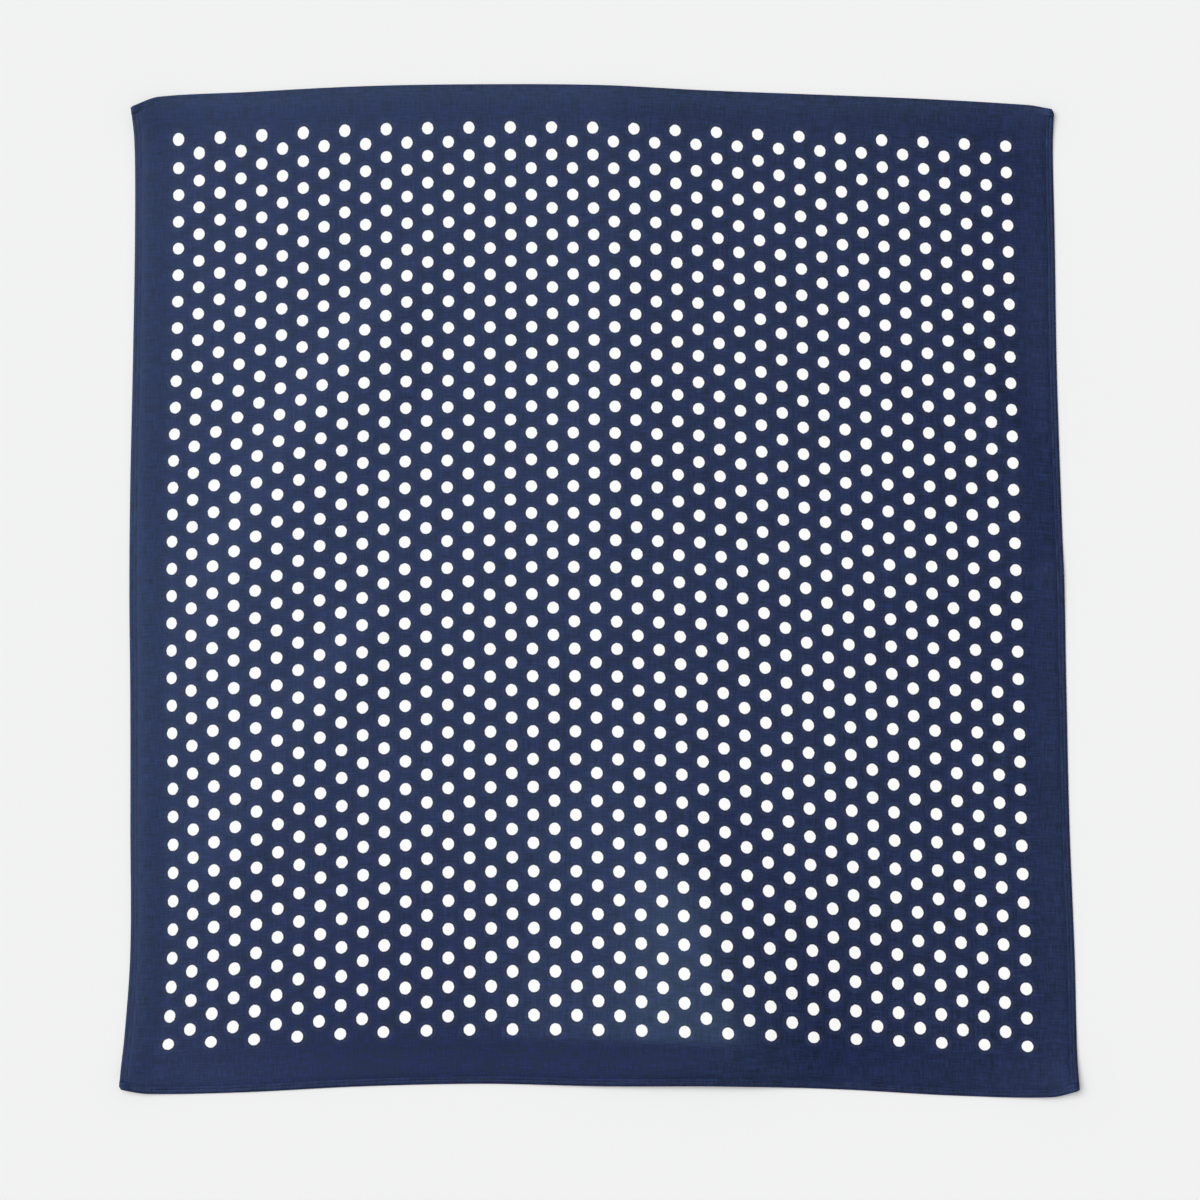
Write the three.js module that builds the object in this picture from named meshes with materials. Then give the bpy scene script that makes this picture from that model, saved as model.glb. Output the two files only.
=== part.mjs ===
// A square cotton bandana with turned hems, laid out face up on a flat surface.
// Millimetres, +Z up off the surface, +Y towards the top edge, +X to the right.
// The cloth is worked out from flat places (u, v) on the cut square, measured from its middle.
import * as THREE from 'three';

// Driving sizes
const WIDTH = 520;           // folded edge to folded edge, across the cloth
const LENGTH = 560;          // folded edge to folded edge, down the cloth
const CLOTH_WALL = 1.0;      // the one layer of cloth
const HEM_WIDTH = 3.4;       // the edge turned twice, seen flat
const HEM_THICKNESS = 1.8;   // three layers and the sewing thread
const CORNER_THICKNESS = 2.5; // where one hem is turned over the end of another
const CORNER_LENGTH = 7;     // how far that thicker end runs
const SEAM_GAP = 0.3;        // between pieces that are sewn together
const RIM = 40;              // the strip inside each edge that follows the uneven hem

const PANEL_CELLS_ACROSS = 40;
const PANEL_CELLS_DOWN = 42;
const HEM_CELLS = 44;

const NAVY = 0x2e3a55;
const HEM_NAVY = 0x2b3650;

// A row for each place across the cloth: how far the weft there is bowed towards the top,
// and how far the top and the bottom fold were turned off the straight line.
const ACROSS = [
  { u: -260, rise: -6.8, top: -3.2, bottom: 8.6 },
  { u: -245, rise: -5.9, top: 2.5, bottom: 5.2 },
  { u: -195, rise: -3.0, top: 2.9, bottom: 3.0 },
  { u: -130, rise: 1.0, top: 2.3, bottom: 2.2 },
  { u: -65, rise: 2.8, top: 1.6, bottom: 1.8 },
  { u: 0, rise: 2.9, top: 0.9, bottom: 0.5 },
  { u: 65, rise: 1.2, top: -0.5, bottom: 2.2 },
  { u: 130, rise: -2.2, top: 0.4, bottom: 3.8 },
  { u: 195, rise: -5.0, top: 0.4, bottom: 3.2 },
  { u: 245, rise: -7.2, top: -0.8, bottom: 4.8 },
  { u: 260, rise: -8.2, top: -3.0, bottom: 9.4 },
];

// A row for each section down the cloth: how far the middle, the left half and the right half
// are pulled sideways, and how far the left and the right fold were turned off the straight line.
const DOWN = [
  { v: -280, lean: 2.8, left: -0.5, right: -1.1, leftFold: -0.4, rightFold: 0.6 },
  { v: -260, lean: 2.7, left: -0.4, right: -1.1, leftFold: 0.2, rightFold: 0.4 },
  { v: -200, lean: 2.4, left: 0.6, right: -1.0, leftFold: 2.5, rightFold: 0.6 },
  { v: -130, lean: 1.8, left: 0.4, right: -1.2, leftFold: 1.9, rightFold: 0.2 },
  { v: -60, lean: 1.3, left: -1.9, right: -0.5, leftFold: 3.6, rightFold: -0.2 },
  { v: 0, lean: 0.6, left: -2.2, right: -0.1, leftFold: 2.8, rightFold: 0.1 },
  { v: 60, lean: 0.2, left: -2.0, right: 0.0, leftFold: 2.1, rightFold: -0.4 },
  { v: 130, lean: 0.1, left: -0.6, right: 0.0, leftFold: 0.4, rightFold: -1.0 },
  { v: 200, lean: -0.2, left: -0.7, right: 0.3, leftFold: 0.4, rightFold: -0.6 },
  { v: 260, lean: -0.8, left: -1.1, right: 0.5, leftFold: 0.0, rightFold: -0.2 },
  { v: 280, lean: -0.8, left: -1.1, right: 0.5, leftFold: -1.9, rightFold: 0.6 },
];

// A row for each soft fold that stands off the surface: the places that its crest runs
// through, its height, how far it spreads to the left and to the right of the way it runs, the
// share of that spread from which it opens, how round its crest is, and the share of its length
// over which it rises.
const FOLDS = [
  { name: 'long arc', at: [[-72, 214], [-140, 123], [-189, 36], [-216, -60]], height: 1.3, left: 85, right: 32, opens: 0.6, crest: 10, rises: 0.3 },
  { name: 'lower arc', at: [[-104, 12], [-142, -56], [-188, -128], [-206, -178]], height: 1.1, left: 60, right: 38, opens: 0.6, crest: 12, rises: 0.3 },
  { name: 'lengthwise', at: [[10, 330], [10, 130], [9, -80]], height: 1.0, left: 105, right: 105, opens: 0.8, crest: 5, rises: 0.2 },
  { name: 'crosswise', at: [[0, 6], [120, 8], [330, 1]], height: 0.8, left: 22, right: 50, opens: 0.6, crest: 5, rises: 0.3 },
  { name: 'right arc', at: [[158, 156], [210, 126], [238, 60], [237, -20]], height: 0.8, left: 24, right: 46, opens: 0.5, crest: 4, rises: 0.3 },
  { name: 'bottom wedge', at: [[-12, -84], [30, -142], [62, -206], [88, -290]], height: 5.4, left: 110, right: 132, opens: 0.45, crest: 5, rises: 0.8 },
];

// A row for each corner: how high it has curled, and how far in the curl reaches.
const CORNERS = [
  { name: 'top left', u: -260, v: 280, height: 3.2, reach: 46 },
  { name: 'top right', u: 260, v: 280, height: 2.2, reach: 38 },
  { name: 'bottom left', u: -260, v: -280, height: 2.6, reach: 42 },
  { name: 'bottom right', u: 260, v: -280, height: 3.6, reach: 56 },
];

// The smooth value of one column between the rows of a table.
function between(rows, along, column, at) {
  const last = rows.length - 1;
  let i = 0;
  while (i < last - 1 && at > rows[i + 1][along]) i++;
  const slope = (k) => {
    const a = rows[Math.max(k - 1, 0)];
    const b = rows[Math.min(k + 1, last)];
    return (b[column] - a[column]) / (b[along] - a[along]);
  };
  const span = rows[i + 1][along] - rows[i][along];
  const t = THREE.MathUtils.clamp((at - rows[i][along]) / span, 0, 1);
  const start = rows[i][column];
  const end = rows[i + 1][column];
  return start * (2 * t ** 3 - 3 * t ** 2 + 1) + end * (3 * t ** 2 - 2 * t ** 3)
    + span * (slope(i) * (t ** 3 - 2 * t ** 2 + t) + slope(i + 1) * (t ** 3 - t ** 2));
}

// 0 inside the cloth, rising to 1 on the folded edge that lies half a cloth away.
function rim(distance, half) {
  return THREE.MathUtils.smoothstep(distance, half - RIM, half - HEM_WIDTH - SEAM_GAP);
}

// Where a place on the flat cut lies on the table, seen from above.
function lay(u, v) {
  const pulled = (side) => (Math.max(side, 0) / 234.5) ** 2;
  const x = u + between(DOWN, 'v', 'lean', v)
    + between(DOWN, 'v', 'left', v) * pulled(-u)
    + between(DOWN, 'v', 'right', v) * pulled(u)
    + between(DOWN, 'v', 'leftFold', v) * rim(-u, WIDTH / 2)
    + between(DOWN, 'v', 'rightFold', v) * rim(u, WIDTH / 2);
  const y = v + between(ACROSS, 'u', 'rise', u)
    + between(ACROSS, 'u', 'top', u) * rim(v, LENGTH / 2)
    + between(ACROSS, 'u', 'bottom', u) * rim(-v, LENGTH / 2);
  return new THREE.Vector2(x, y);
}

// Each fold's crest as a smooth curve through its places, cut into short steps.
const foldLines = FOLDS.map((fold) => new THREE.SplineCurve(
  fold.at.map(([x, y]) => new THREE.Vector2(x, y)),
).getPoints(24));

// How high one fold lifts the cloth at a place: a ridge with a rounded crest and long, hollow
// sides, which widens from its start and dies out at both ends.
function foldLift(fold, line, place) {
  let nearest = Infinity;
  let side = 1;
  let along = 0;
  for (let k = 0; k < line.length - 1; k++) {
    const step = line[k + 1].clone().sub(line[k]);
    const to = place.clone().sub(line[k]);
    const t = THREE.MathUtils.clamp(to.dot(step) / step.lengthSq(), 0, 1);
    const away = to.clone().addScaledVector(step, -t).length();
    if (away < nearest) {
      nearest = away;
      side = step.x * to.y - step.y * to.x;
      along = (k + t) / (line.length - 1);
    }
  }
  const widening = THREE.MathUtils.lerp(fold.opens, 1, THREE.MathUtils.smoothstep(along, 0, 0.8));
  const spread = widening * (side > 0 ? fold.left : fold.right);
  const rounding = fold.crest / spread;
  const offCrest = Math.hypot(nearest / spread, rounding) - rounding;
  const out = Math.min(offCrest / (Math.hypot(1, rounding) - rounding), 1);
  const ends = THREE.MathUtils.smoothstep(along, 0, fold.rises)
    * THREE.MathUtils.smoothstep(1 - along, 0, 0.16);
  return fold.height * ends * (1 - out) * (1 - 0.75 * out);
}

// How high the underside stands off the table: the highest fold there, and the corner curls.
function lift(u, v) {
  const place = lay(u, v);
  let height = 0;
  FOLDS.forEach((fold, k) => {
    height = Math.max(height, foldLift(fold, foldLines[k], place));
  });
  for (const corner of CORNERS) {
    const away = Math.hypot(u - corner.u, v - corner.v);
    if (away < corner.reach) height += corner.height * (1 - away / corner.reach) ** 2;
  }
  return height;
}

// A point of the cloth, a given height above its underside.
function clothPoint(u, v, above) {
  const place = lay(u, v);
  return [place.x, place.y, lift(u, v) + above];
}

function meshFrom(name, points, faces, colour, roughness) {
  const geometry = new THREE.BufferGeometry();
  geometry.setAttribute('position', new THREE.Float32BufferAttribute(points.flat(), 3));
  geometry.setIndex(faces.flat());
  geometry.computeVertexNormals();
  const material = new THREE.MeshStandardMaterial({ color: colour, roughness, metalness: 0 });
  const mesh = new THREE.Mesh(geometry, material);
  mesh.name = name;
  return mesh;
}

// The field of the bandana: one layer of cloth inside the four hems.
function makePanel() {
  const inset = HEM_WIDTH + SEAM_GAP;
  const across = PANEL_CELLS_ACROSS;
  const down = PANEL_CELLS_DOWN;
  const halfU = WIDTH / 2 - inset;
  const halfV = LENGTH / 2 - inset;
  const points = [];
  for (const above of [0, CLOTH_WALL]) {
    for (let j = 0; j <= down; j++) {
      for (let i = 0; i <= across; i++) {
        points.push(clothPoint(-halfU + 2 * halfU * i / across, -halfV + 2 * halfV * j / down, above));
      }
    }
  }
  const layer = (across + 1) * (down + 1);
  const at = (i, j, top) => top * layer + j * (across + 1) + i;
  const faces = [];
  for (let j = 0; j < down; j++) {
    for (let i = 0; i < across; i++) {
      faces.push([at(i, j, 1), at(i + 1, j, 1), at(i + 1, j + 1, 1)]);
      faces.push([at(i, j, 1), at(i + 1, j + 1, 1), at(i, j + 1, 1)]);
      faces.push([at(i, j, 0), at(i + 1, j + 1, 0), at(i + 1, j, 0)]);
      faces.push([at(i, j, 0), at(i, j + 1, 0), at(i + 1, j + 1, 0)]);
    }
  }
  const wall = (a, b) => {
    faces.push([a(0), b(0), b(1)]);
    faces.push([a(0), b(1), a(1)]);
  };
  for (let i = 0; i < across; i++) {
    wall((top) => at(i, 0, top), (top) => at(i + 1, 0, top));
    wall((top) => at(i + 1, down, top), (top) => at(i, down, top));
  }
  for (let j = 0; j < down; j++) {
    wall((top) => at(across, j, top), (top) => at(across, j + 1, top));
    wall((top) => at(0, j + 1, top), (top) => at(0, j, top));
  }
  return meshFrom('panel', points, faces, NAVY, 0.85);
}

// The rolled section of a hem: the distance in from the fold, and the share of its thickness.
const HEM_SECTION = [
  { inward: 0.0, share: 0.3 },
  { inward: 0.7, share: 0.0 },
  { inward: HEM_WIDTH - 0.3, share: 0.0 },
  { inward: HEM_WIDTH, share: 0.15 },
  { inward: HEM_WIDTH, share: 0.85 },
  { inward: HEM_WIDTH - 0.4, share: 1.0 },
  { inward: 0.7, share: 1.0 },
  { inward: 0.0, share: 0.7 },
];

// One hem, swept along its edge. Its flat places come from how far along the edge it is
// (-1 to 1) and how far in from the fold.
function makeHem(name, flatPlace, halfLength, turnedOverEnds) {
  const points = [];
  const sides = HEM_SECTION.length;
  for (let k = 0; k <= HEM_CELLS; k++) {
    // Steps are shorter near the corners, where the edge turns most.
    const along = halfLength * Math.sin((k / HEM_CELLS - 0.5) * Math.PI * 0.8) / Math.sin(0.4 * Math.PI);
    const fromEnd = halfLength - Math.abs(along);
    const thick = turnedOverEnds
      ? THREE.MathUtils.lerp(CORNER_THICKNESS, HEM_THICKNESS, THREE.MathUtils.smoothstep(fromEnd, 3, CORNER_LENGTH))
      : HEM_THICKNESS;
    for (const { inward, share } of HEM_SECTION) {
      const [u, v] = flatPlace(along, inward);
      points.push(clothPoint(u, v, share * thick));
    }
  }
  const faces = [];
  for (let k = 0; k < HEM_CELLS; k++) {
    for (let s = 0; s < sides; s++) {
      const a = k * sides + s;
      const b = k * sides + (s + 1) % sides;
      faces.push([a, b + sides, b], [a, a + sides, b + sides]);
    }
  }
  const end = HEM_CELLS * sides;
  for (let s = 1; s < sides - 1; s++) {
    faces.push([0, s, s + 1], [end, end + s + 1, end + s]);
  }
  return meshFrom(name, points, faces, HEM_NAVY, 0.9);
}

const sideReach = LENGTH / 2 - HEM_WIDTH - SEAM_GAP;
const bandana = new THREE.Group();
bandana.add(
  makePanel(),
  makeHem('hem_bottom', (along, inward) => [-along, -LENGTH / 2 + inward], WIDTH / 2, true),
  makeHem('hem_top', (along, inward) => [along, LENGTH / 2 - inward], WIDTH / 2, true),
  makeHem('hem_left', (along, inward) => [-WIDTH / 2 + inward, along], sideReach, false),
  makeHem('hem_right', (along, inward) => [WIDTH / 2 - inward, -along], sideReach, false),
);

// The middle of the laid cloth is the origin, on the table.
const box = new THREE.Box3().setFromObject(bandana);
bandana.position.set(-(box.min.x + box.max.x) / 2, -(box.min.y + box.max.y) / 2, 0);

export default bandana;
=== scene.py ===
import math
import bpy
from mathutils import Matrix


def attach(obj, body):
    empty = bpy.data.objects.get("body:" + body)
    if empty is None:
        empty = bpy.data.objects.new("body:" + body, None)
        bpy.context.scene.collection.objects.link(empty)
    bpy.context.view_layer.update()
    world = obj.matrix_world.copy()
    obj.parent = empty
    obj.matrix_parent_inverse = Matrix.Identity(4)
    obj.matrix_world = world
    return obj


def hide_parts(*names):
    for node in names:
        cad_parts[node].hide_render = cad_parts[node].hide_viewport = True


bl_info = {
    "name": "Dotted cotton bandana",
    "version": (1, 0, 0),
    "blender": (4, 5, 0),
    "location": "3D View > Sidebar > Bandana",
    "description": "A navy cotton bandana with white dots, laid out flat",
    "category": "Add Mesh",
}

import bmesh
import bpy
import numpy as np
from mathutils import Matrix, Vector, noise

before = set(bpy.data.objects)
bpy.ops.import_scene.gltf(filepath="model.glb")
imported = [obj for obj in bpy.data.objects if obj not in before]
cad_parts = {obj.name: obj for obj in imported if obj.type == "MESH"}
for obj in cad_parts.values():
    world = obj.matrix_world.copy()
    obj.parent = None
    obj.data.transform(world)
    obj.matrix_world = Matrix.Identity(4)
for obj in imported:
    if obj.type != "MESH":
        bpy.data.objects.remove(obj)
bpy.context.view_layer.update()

MM = 0.001

# The flat cut of what shows, in millimetres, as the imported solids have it: u runs across it
# and v up it, both from its middle. RIM is how far in from a folded edge the cloth was pulled
# off the straight line, and PRINT_REACH is from the middle to the outermost column of dots.
WIDTH = 520.0
LENGTH = 560.0
HEM_WIDTH = 3.4
SEAM_GAP = 0.3
RIM = 40.0
PRINT_REACH = 234.5

# A row for each place across the cloth: how far the weft is bowed towards the top,
# and how far the top and the bottom fold were turned off the straight line.
ACROSS = [
    {"u": -260, "rise": -6.8, "top": -3.2, "bottom": 8.6},
    {"u": -245, "rise": -5.9, "top": 2.5, "bottom": 5.2},
    {"u": -195, "rise": -3.0, "top": 2.9, "bottom": 3.0},
    {"u": -130, "rise": 1.0, "top": 2.3, "bottom": 2.2},
    {"u": -65, "rise": 2.8, "top": 1.6, "bottom": 1.8},
    {"u": 0, "rise": 2.9, "top": 0.9, "bottom": 0.5},
    {"u": 65, "rise": 1.2, "top": -0.5, "bottom": 2.2},
    {"u": 130, "rise": -2.2, "top": 0.4, "bottom": 3.8},
    {"u": 195, "rise": -5.0, "top": 0.4, "bottom": 3.2},
    {"u": 245, "rise": -7.2, "top": -0.8, "bottom": 4.8},
    {"u": 260, "rise": -8.2, "top": -3.0, "bottom": 9.4},
]

# A row for each section down the cloth: how far it has slipped up, and more so to the right,
# how far its middle, left half and right half are pulled sideways, and how far the left and
# the right fold were turned off the straight line.
DOWN = [
    {"v": -280, "slip": 0.0, "turn": 0.0, "lean": 2.8,
     "left": -0.5, "right": -1.1, "left_fold": -0.4, "right_fold": 0.6},
    {"v": -260, "slip": -1.7, "turn": 0.1, "lean": 2.7,
     "left": -0.4, "right": -1.1, "left_fold": 0.2, "right_fold": 0.4},
    {"v": -200, "slip": -0.3, "turn": 0.2, "lean": 2.4,
     "left": 0.6, "right": -1.0, "left_fold": 2.5, "right_fold": 0.6},
    {"v": -130, "slip": 0.5, "turn": 0.4, "lean": 1.8,
     "left": 0.4, "right": -1.2, "left_fold": 1.9, "right_fold": 0.2},
    {"v": -60, "slip": 0.7, "turn": 0.4, "lean": 1.3,
     "left": -1.9, "right": -0.5, "left_fold": 3.6, "right_fold": -0.2},
    {"v": 0, "slip": 0.6, "turn": 0.3, "lean": 0.6,
     "left": -2.2, "right": -0.1, "left_fold": 2.8, "right_fold": 0.1},
    {"v": 60, "slip": 0.2, "turn": 0.0, "lean": 0.2,
     "left": -2.0, "right": 0.0, "left_fold": 2.1, "right_fold": -0.4},
    {"v": 130, "slip": -0.3, "turn": 0.0, "lean": 0.1,
     "left": -0.6, "right": 0.0, "left_fold": 0.4, "right_fold": -1.0},
    {"v": 200, "slip": -0.6, "turn": -0.3, "lean": -0.2,
     "left": -0.7, "right": 0.3, "left_fold": 0.4, "right_fold": -0.6},
    {"v": 260, "slip": 0.3, "turn": -0.6, "lean": -0.8,
     "left": -1.1, "right": 0.5, "left_fold": 0.0, "right_fold": -0.2},
    {"v": 280, "slip": 0.0, "turn": 0.0, "lean": -0.8,
     "left": -1.1, "right": 0.5, "left_fold": -1.9, "right_fold": 0.6},
]

# A row for each soft fold: the places it runs through, its height, its spread to the left and
# to the right of the way it runs, the share of that spread from which it opens, how round its
# crest is, how much paler its crown is painted, and the share of its length over which it rises.
# The paler crown is painted highlight: on the bottom wedge it stands in for the sheen on the
# slope that faces the lamp, and on the smaller folds it is partly rubbed wear as well.
FOLDS = [
    {"name": "long arc", "at": [(-72, 214), (-140, 123), (-189, 36), (-216, -60)],
     "height": 1.3, "left": 85, "right": 32, "opens": 0.6, "crest": 10, "pale": 0.08,
     "rises": 0.3},
    {"name": "lower arc", "at": [(-104, 12), (-142, -56), (-188, -128), (-206, -178)],
     "height": 1.1, "left": 60, "right": 38, "opens": 0.6, "crest": 12, "pale": 0.05,
     "rises": 0.3},
    {"name": "lengthwise", "at": [(10, 330), (10, 130), (9, -80)],
     "height": 1.0, "left": 105, "right": 105, "opens": 0.8, "crest": 5, "pale": 0.03,
     "rises": 0.2},
    {"name": "crosswise", "at": [(0, 6), (120, 8), (330, 1)],
     "height": 0.8, "left": 22, "right": 50, "opens": 0.6, "crest": 5, "pale": 0.15,
     "rises": 0.3},
    {"name": "right arc", "at": [(158, 156), (210, 126), (238, 60), (237, -20)],
     "height": 0.8, "left": 24, "right": 46, "opens": 0.5, "crest": 4, "pale": 0.08,
     "rises": 0.3},
    {"name": "bottom wedge", "at": [(-12, -84), (30, -142), (62, -206), (88, -290)],
     "height": 5.4, "left": 110, "right": 132, "opens": 0.45, "crest": 5, "pale": 0.45,
     "rises": 0.8},
]

# A row for each shallow crease, too fine for the solids: as above, and a height below
# nothing is a trough. All open from the same share of their spread and rise over the same
# share of their length, and only a few have a paler crown, painted highlight that is partly
# rubbed wear.
CREASE_OPENS = 0.5
CREASE_RISES = 0.4
CREASES = [
    {"name": "upper left ray, inner", "at": [(-224, 168), (-186, 148), (-146, 112)],
     "height": 0.16, "left": 10, "right": 12, "crest": 4},
    {"name": "upper left ray, outer", "at": [(-240, 146), (-204, 128), (-172, 96)],
     "height": 0.14, "left": 9, "right": 12, "crest": 4},
    {"name": "upper left ray, top", "at": [(-214, 196), (-170, 178), (-128, 150)],
     "height": 0.12, "left": 10, "right": 12, "crest": 4},
    {"name": "upper left pinch", "at": [(-250, 180), (-232, 206), (-208, 232)],
     "height": 0.3, "left": 14, "right": 12, "crest": 4, "pale": 0.06},
    {"name": "cup ring", "at": [(-114, 80), (-92, 108), (-72, 84)],
     "height": -0.3, "left": 12, "right": 14, "crest": 5},
    {"name": "low crosswise", "at": [(30, -120), (92, -110), (160, -104)],
     "height": 0.35, "left": 12, "right": 30, "crest": 5, "pale": 0.03},
    {"name": "right pinch", "at": [(233, -78), (229, -98), (219, -124)],
     "height": 0.35, "left": 12, "right": 10, "crest": 4, "pale": 0.06},
    {"name": "wedge's left edge", "at": [(-22, -96), (-42, -170), (-54, -256)],
     "height": -0.45, "left": 16, "right": 42, "crest": 3},
    {"name": "top right drift", "at": [(70, 246), (128, 226), (172, 182)],
     "height": 0.25, "left": 24, "right": 28, "crest": 8},
    {"name": "right shoulder", "at": [(120, 150), (158, 118), (176, 70)],
     "height": 0.2, "left": 22, "right": 20, "crest": 6},
    {"name": "lower left sag", "at": [(-186, -120), (-168, -170), (-158, -224)],
     "height": -0.35, "left": 30, "right": 26, "crest": 9},
    {"name": "bottom right drift", "at": [(176, -150), (196, -206), (188, -262)],
     "height": 0.3, "left": 34, "right": 32, "crest": 9},
]

# A row for each place painted paler than the rest, as painted light, or, below nothing, darker,
# as painted shade: round the bottom wedge it follows how its slopes face the lamp, and elsewhere
# it makes the cloth paler at the left edge and darker towards the bottom and the right. Its
# middle, how far it reaches, and the share of the change.
PAINTED_LIGHT_AND_SHADE = [
    {"name": "left edge", "u": -245, "v": -30, "reach": 120, "share": 0.25},
    {"name": "top left", "u": -190, "v": 230, "reach": 130, "share": -0.08},
    {"name": "wedge's foot", "u": 30, "v": -250, "reach": 55, "share": 1.1},
    {"name": "foot of the ridge", "u": 66, "v": -248, "reach": 30, "share": 0.4},
    {"name": "wedge's crown", "u": 40, "v": -200, "reach": 55, "share": 0.9},
    {"name": "wedge's left side", "u": -30, "v": -235, "reach": 55, "share": 0.4},
    {"name": "above the wedge", "u": -25, "v": -150, "reach": 50, "share": 0.3},
    {"name": "wedge's right flank", "u": 62, "v": -215, "reach": 40, "share": -0.3},
    {"name": "right of the crown", "u": 75, "v": -160, "reach": 50, "share": -0.2},
    {"name": "right of the wedge", "u": 105, "v": -215, "reach": 45, "share": -0.2},
    {"name": "bottom left", "u": -140, "v": -280, "reach": 150, "share": -0.5},
    {"name": "bottom right", "u": 130, "v": -290, "reach": 90, "share": -0.3},
    {"name": "lower left", "u": -130, "v": -200, "reach": 100, "share": -0.2},
    {"name": "right edge", "u": 262, "v": 60, "reach": 200, "share": -0.22},
    {"name": "top right", "u": 250, "v": 240, "reach": 80, "share": -0.35},
]

# The plain margin along the bottom begins under the last row of dots. It is painted darker than
# the dotted field above it, so it has rows of its own: where the bottom wedge runs into it,
# painted shade darkens the side of its ridge that faces the lamp and painted light brightens the
# side that faces away. MARGIN_EDGE is how far the change reaches to each side of that line.
MARGIN_TOP = -254.0
MARGIN_EDGE = 4.0
MARGIN = [
    {"name": "far left", "u": -205, "v": -270, "reach": 100, "share": -0.3},
    {"name": "left", "u": -110, "v": -270, "reach": 110, "share": -0.8},
    {"name": "middle", "u": -10, "v": -270, "reach": 90, "share": -0.6},
    {"name": "under the wedge", "u": 40, "v": -270, "reach": 60, "share": -0.3},
    {"name": "under the ridge", "u": 88, "v": -268, "reach": 35, "share": 0.3},
    {"name": "right", "u": 150, "v": -270, "reach": 70, "share": -0.3},
]

# Only the middle of a fold is painted paler, as painted highlight and partly rubbed wear: the share
# of its spread.
CROWN = 0.45

# How far the turned layers of a hem hold the field up beside it, how far the field dips again
# under the hem's lip, and how high the middle of one layer lies on the table, in millimetres.
HELD_UP = 0.60
LIP_DIP = 0.38
MIDDLE_LAYER = 0.25

# A row for each corner: how high it has curled, how far in the curl reaches, and how round
# the turned edge is there.
CORNERS = [
    {"name": "top left", "u": -260, "v": 280, "height": 3.2, "reach": 46, "round": 0.6},
    {"name": "top right", "u": 260, "v": 280, "height": 2.2, "reach": 38, "round": 2.4},
    {"name": "bottom left", "u": -260, "v": -280, "height": 2.6, "reach": 42, "round": 1.6},
    {"name": "bottom right", "u": 260, "v": -280, "height": 3.6, "reach": 56, "round": 0.6},
]


def between(rows, along, column, at):
    """The smooth value of one column between the rows of a table."""
    places = np.array([row[along] for row in rows], float)
    values = np.array([row[column] for row in rows], float)
    before = np.maximum(np.arange(len(rows)) - 1, 0)
    after = np.minimum(np.arange(len(rows)) + 1, len(rows) - 1)
    slopes = (values[after] - values[before]) / (places[after] - places[before])
    i = np.clip(np.searchsorted(places, at, side="right") - 1, 0, len(rows) - 2)
    span = places[i + 1] - places[i]
    t = np.clip((at - places[i]) / span, 0, 1)
    return (
        values[i] * (2 * t**3 - 3 * t**2 + 1)
        + values[i + 1] * (3 * t**2 - 2 * t**3)
        + span * slopes[i] * (t**3 - 2 * t**2 + t)
        + span * slopes[i + 1] * (t**3 - t**2)
    )


def smooth(x, low, high):
    """0 below low, 1 above high, and an even slope between."""
    t = np.clip((x - low) / (high - low), 0, 1)
    return t * t * (3 - 2 * t)


def rim(distance, half):
    """0 inside the cloth, rising to 1 on the folded edge that lies half a cloth away."""
    return smooth(distance, half - RIM, half - HEM_WIDTH - SEAM_GAP)


def lay_uncentred(u, v):
    """Where a place on the flat cut lies, seen from above."""
    left = (np.maximum(-u, 0) / PRINT_REACH) ** 2
    right = (np.maximum(u, 0) / PRINT_REACH) ** 2
    x = u + between(DOWN, "v", "lean", v)
    x = x + between(DOWN, "v", "left", v) * left + between(DOWN, "v", "right", v) * right
    x = x + between(DOWN, "v", "left_fold", v) * rim(-u, WIDTH / 2)
    x = x + between(DOWN, "v", "right_fold", v) * rim(u, WIDTH / 2)
    inside = smooth(LENGTH / 2 - np.abs(v), 0, 20)
    slip = between(DOWN, "v", "slip", v) + between(DOWN, "v", "turn", v) * u / PRINT_REACH
    y = v + between(ACROSS, "u", "rise", u) + slip * inside
    y = y + between(ACROSS, "u", "top", u) * rim(v, LENGTH / 2)
    y = y + between(ACROSS, "u", "bottom", u) * rim(-v, LENGTH / 2)
    return x, y


def middle_of_the_box():
    """The middle of the laid cloth's outline, which the frame has at its origin."""
    step = np.linspace(-1, 1, 401)
    one = np.ones_like(step)
    u = np.concatenate([step, step, one, -one]) * WIDTH / 2
    v = np.concatenate([one, -one, step, step]) * LENGTH / 2
    x, y = lay_uncentred(u, v)
    return (x.min() + x.max()) / 2, (y.min() + y.max()) / 2


MIDDLE = middle_of_the_box()


def lay(u, v):
    """Where a place on the flat cut lies in the part's own frame."""
    x, y = lay_uncentred(u, v)
    return x - MIDDLE[0], y - MIDDLE[1]


def curve_through(places, steps=24):
    """Points along the smooth curve through a fold's places."""
    p = np.array(places, float)
    points = []
    for k in range(steps + 1):
        at = (len(p) - 1) * k / steps
        i = min(int(at), len(p) - 2)
        t = at - i
        a, b, c, d = p[max(i - 1, 0)], p[i], p[i + 1], p[min(i + 2, len(p) - 1)]
        start, end = (c - a) / 2, (d - b) / 2
        points.append(
            (2 * b - 2 * c + start + end) * t**3
            + (-3 * b + 3 * c - 2 * start - end) * t**2
            + start * t
            + b
        )
    return np.array(points)


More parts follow.
